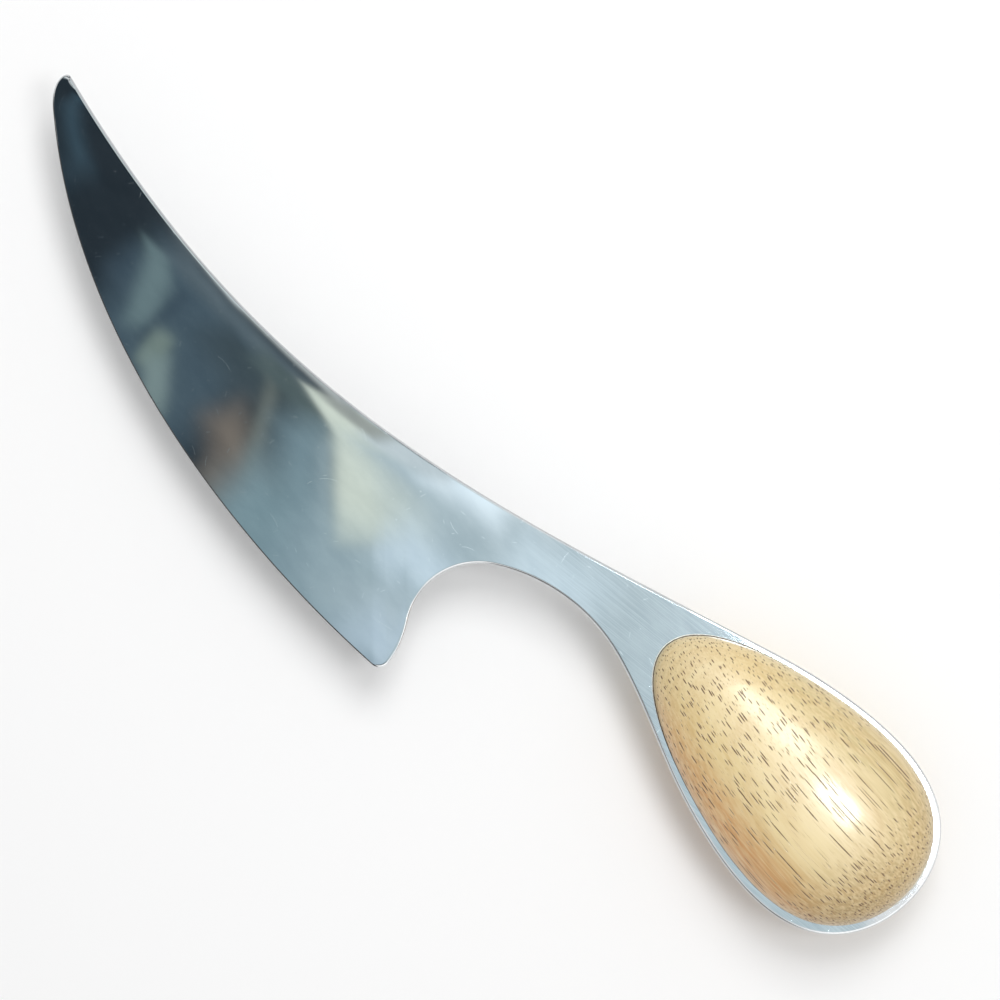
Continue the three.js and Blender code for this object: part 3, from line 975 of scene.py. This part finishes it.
def only_mirrored(sheet, glow):
    """A sheet that glows, seen in reflections and nowhere else."""
    for ray in ("camera", "diffuse", "transmission", "volume_scatter", "shadow"):
        setattr(sheet, f"visible_{ray}", False)
    glow.shade(Base_Color=(0, 0, 0, 1), Roughness=1.0, Specular_IOR_Level=0.0)


def lamp(name, across, below, height, size, power, shine):
    """A soft lamp, turned to face the egg, and a soft box that hides it as seen from the egg."""
    data = bpy.data.lights.new(name, "AREA")
    data.size = size
    data.energy = power
    light = bpy.data.objects.new(name, data)
    place, egg = seen(across, below, height), seen(*-off_axis, dome_height)
    light.location = place
    light.rotation_euler = Vector(place - egg).to_track_quat("Z", "Y").to_euler()
    light.visible_glossy = False
    bpy.context.scene.collection.objects.link(light)
    glow = Finish(bpy.data.materials.new(f"{name}_glow"))
    corners = square(size * BOX_SHARE, lerp(egg, place, BOX_SHARE))
    box = flat_sheet(f"{name}_box", corners, glow.owner)
    only_mirrored(box, glow)
    glow.shade(Emission_Color=BOX_COLOUR, Emission_Strength=shine)
    print(f"{name}: {power} W, its box at {shine}")


lamp("lamp_above", across=105, below=-375, height=700, size=0.36, power=2.5, shine=11)
lamp("lamp_right", across=246, below=24, height=700, size=0.22, power=1.0, shine=32)

# %% [markdown]
# ## What the steel mirrors
# Polished steel has little colour of its own: it shows what is above it. In a studio that can be a
# painted canvas, so one hangs here, seen only in reflections. Each patch on it is a soft-edged
# oblong, given in millimetres by where it should appear on the plate. The patches lie one over
# another on a dark ground, and towards three of its sides the canvas fades to a pale tone.

# %% Paint the canvas
CANVAS_LOW = (-130.0, -130.0)
CANVAS_HIGH = (66.0, 96.0)
CANVAS_STEPS = 260
DARK = (36, 45, 52)
BORDER = 28.0
BORDER_TONE = (196, 204, 208)
PATCHES = [
    # name, middle across and below, half length and width, turn, softness, colour
    ("tip_glow", -80.5, -65, 7, 3, 75, 6, (58, 78, 90)),
    ("slate_band", -57, -28, 15, 16, 52, 6, (68, 85, 96)),
    ("slate_edge", -66, -37, 6, 4, 60, 4, (60, 76, 88)),
    ("spine_slate", -41, -36.5, 16, 5.5, 47.5, 6, (86, 100, 108)),
    ("green_slant", -62.5, -37.6, 9, 3.2, 112, 2.2, (101, 121, 125)),
    ("green_wall", -62.6, -25.6, 3.6, 2.4, 122, 0.8, (114, 130, 124)),
    ("low_wall", -62.4, -19.6, 5, 2.4, 97, 1.6, (118, 136, 136)),
    ("dark_slant", -60.8, -31.6, 7, 1.1, 140, 0.9, (58, 74, 86)),
    ("dark_corner", -46, -24, 7, 5, 60, 4, (60, 73, 80)),
    ("rust", -47.2, -7, 8, 3.4, 72, 4, (116, 108, 100)),
    ("rust_low", -50, -1.5, 5, 3, 56, 3, (108, 104, 99)),
    ("olive_line", -41.8, -14.8, 13, 1.2, 106, 1.2, (106, 112, 107)),
    ("teal", -33.5, -20.4, 10, 6, 50, 3, (78, 92, 94)),
    ("blue_middle", -35.2, -0.6, 12.5, 4.6, 90, 5, (117, 140, 149)),
    ("blue_low", -38, 10, 16, 8, 47, 5, (118, 142, 150)),
    ("grey_low", -29, 17, 14, 8, 47, 6, (123, 145, 154)),
    ("pale_heel", -17, 25, 13, 8, 47, 7, (146, 166, 177)),
    ("pale_end", 40, 30, 60, 40, 45, 8, (170, 185, 191)),
    ("pale_side", 6, -20, 22, 15, 45, 3, (176, 188, 192)),
    ("cream", -20.8, -8.8, 17.4, 8.6, 90, 1.4, (202, 211, 200)),
    ("line_glow", -31.2, 0, 9, 0.8, 90, 2, (150, 170, 177)),
    ("cream_fade", -10.5, 1, 17, 6.6, 62, 7, (166, 183, 190)),
    ("heel_mist", -22, 12.5, 12, 4, 10, 9, (146, 166, 174)),
    ("heel_cloud", -14.6, 12, 7, 4.2, 45, 4, (192, 210, 221)),
    ("heel_tip", -21.5, 25, 5, 4, 47, 5, (180, 198, 211)),
    ("bright_slip", -4, -5, 7, 3.4, 35, 5, (231, 246, 255)),
    ("pale_neck", 10, 11.5, 9, 6, 38, 6, (194, 211, 220)),
    ("spine_pale", -12, -14, 8, 4, 38, 2.5, (188, 200, 205)),
    ("spine_grey", -19, -23.1, 6, 4, 42, 2, (146, 152, 148)),
    ("beside_spine", -16.5, -58.4, 21, 25, 45.9, 1.6, (164, 170, 170)),
    ("beside_tip", -31.2, -76.5, 24, 25, 53.9, 1.6, (196, 204, 206)),
]


def soft_step(share):
    """A smooth step from 0 to 1, with a last axis to spread it over a colour."""
    share = np.clip(share, 0, 1)[..., None]
    return share * share * (3 - 2 * share)


def oblong(across, below, middle_across, middle_below, length, width, turn, soft):
    """A patch's weight at every point: a smooth step in the distance to its oblong."""
    cos, sin = math.cos(math.radians(turn)), math.sin(math.radians(turn))
    x, y = across - middle_across, below - middle_below
    outside = np.stack([np.abs(x * cos + y * sin) - length, np.abs(y * cos - x * sin) - width])
    reach = np.linalg.norm(np.clip(outside, 0, None), axis=0)
    reach += np.clip(outside.max(axis=0), None, 0)
    return soft_step(0.5 - reach / (2 * soft))


def canvas_tones(across, below):
    """The colour at every point of the canvas: the ground, the patches and the border."""
    tones = np.array(colour(*DARK))
    for _, *place, shade in PATCHES:
        tones = lerp(tones, np.array(colour(*shade)), oblong(across, below, *place))
    from_sides = [across - CANVAS_LOW[0], below - CANVAS_LOW[1], CANVAS_HIGH[1] - below]
    border = soft_step(1 - np.min(from_sides, axis=0) / BORDER)
    return lerp(tones, np.array(colour(*BORDER_TONE)), border)


runs = [np.linspace(low, high, CANVAS_STEPS) for low, high in zip(CANVAS_LOW, CANVAS_HIGH)]
canvas_across, canvas_below = np.meshgrid(*runs)
canvas_paint = canvas_tones(canvas_across, canvas_below)
print(f"canvas with {len(PATCHES)} patches")

# %% [markdown]
# ## Hanging the canvas
# The mirror rule moves each patch out by the height of the canvas over the distance of the camera.
# The ground flank leans a degree towards the cutting edge, so the whole canvas hangs a little that
# way. Openings in it let the rounded rims see the dark and the bright side of the room, and the
# egg its soft boxes. A small pale flag, close over the neck, keeps a box out of the neck's rounded
# spine, which would otherwise show a white line.

# %% Canvas over the blade
CANVAS_HEIGHT = 120.0
FLANK_LEAN = (-2.6, 2.6)
OPENINGS = [
    # lowest and highest place across and below
    ((26, -140), (140, 6)),
    ((45, -140), (140, 62)),
    ((-140, 20), (-92, 140)),
    ((-140, 56), (33, 140)),
]
STEEL_TONE = 0.63
FLAG_CORNERS = [(-80, 2, 40), (-31, 16, 40), (-42, 48, 40), (-94, 34, 40)]
FLAG_TONE = (200, 206, 210)


def hang_canvas():
    """A level sheet with the canvas's colours in an attribute, and no faces in its openings."""
    spots = np.stack([canvas_across, canvas_below], axis=-1) + FLANK_LEAN
    spread = 1 + CANVAS_HEIGHT / VIEW_DISTANCE
    places = aim + spread * spots @ np.array([right, down]) + [0, 0, CANVAS_HEIGHT]
    cut = [((spots > low) & (spots < high)).all(axis=-1) for low, high in OPENINGS]
    hung = ~np.any(cut, axis=0)
    index = np.arange(hung.size).reshape(hung.shape)
    quads = np.stack([index[:-1, :-1], index[:-1, 1:], index[1:, 1:], index[1:, :-1]], axis=-1)
    mesh = bpy.data.meshes.new("canvas")
    mesh.from_pydata((places * MM).reshape(-1, 3).tolist(), [], quads[hung[:-1, :-1]].tolist())
    layer = mesh.color_attributes.new("paint", "FLOAT_COLOR", "POINT")
    layer.data.foreach_set("color", canvas_paint.astype(np.float32).ravel())
    sheet = bpy.data.objects.new("canvas", mesh)
    bpy.context.scene.collection.objects.link(sheet)
    return sheet


def studio_paint(name):
    """A paint that glows just so much that the steel shows it in its own tone."""
    paint = Finish(bpy.data.materials.new(name))
    paint.owner.cycles.emission_sampling = "NONE"
    paint.shade(Emission_Strength=1 / STEEL_TONE)
    return paint


canvas = hang_canvas()
paint = studio_paint("canvas_paint")
paint.shade(Emission_Color=paint.add("Attribute", "Color", {"attribute_name": "paint"}))
only_mirrored(canvas, paint)
canvas.data.materials.append(paint.owner)

paint = studio_paint("flag_paint")
paint.shade(Emission_Color=colour(*FLAG_TONE))
flag = flat_sheet("flag", (np.array(FLAG_CORNERS) + egg_centre) * MM, paint.owner)
only_mirrored(flag, paint)
print(f"canvas of {len(canvas.data.polygons)} faces, {CANVAS_HEIGHT} mm over the plate")

# %% [markdown]
# ## Finish
# The colours are shown as they are, with the Standard view.

# %% Show the colours
bpy.context.scene.view_settings.view_transform = "Standard"
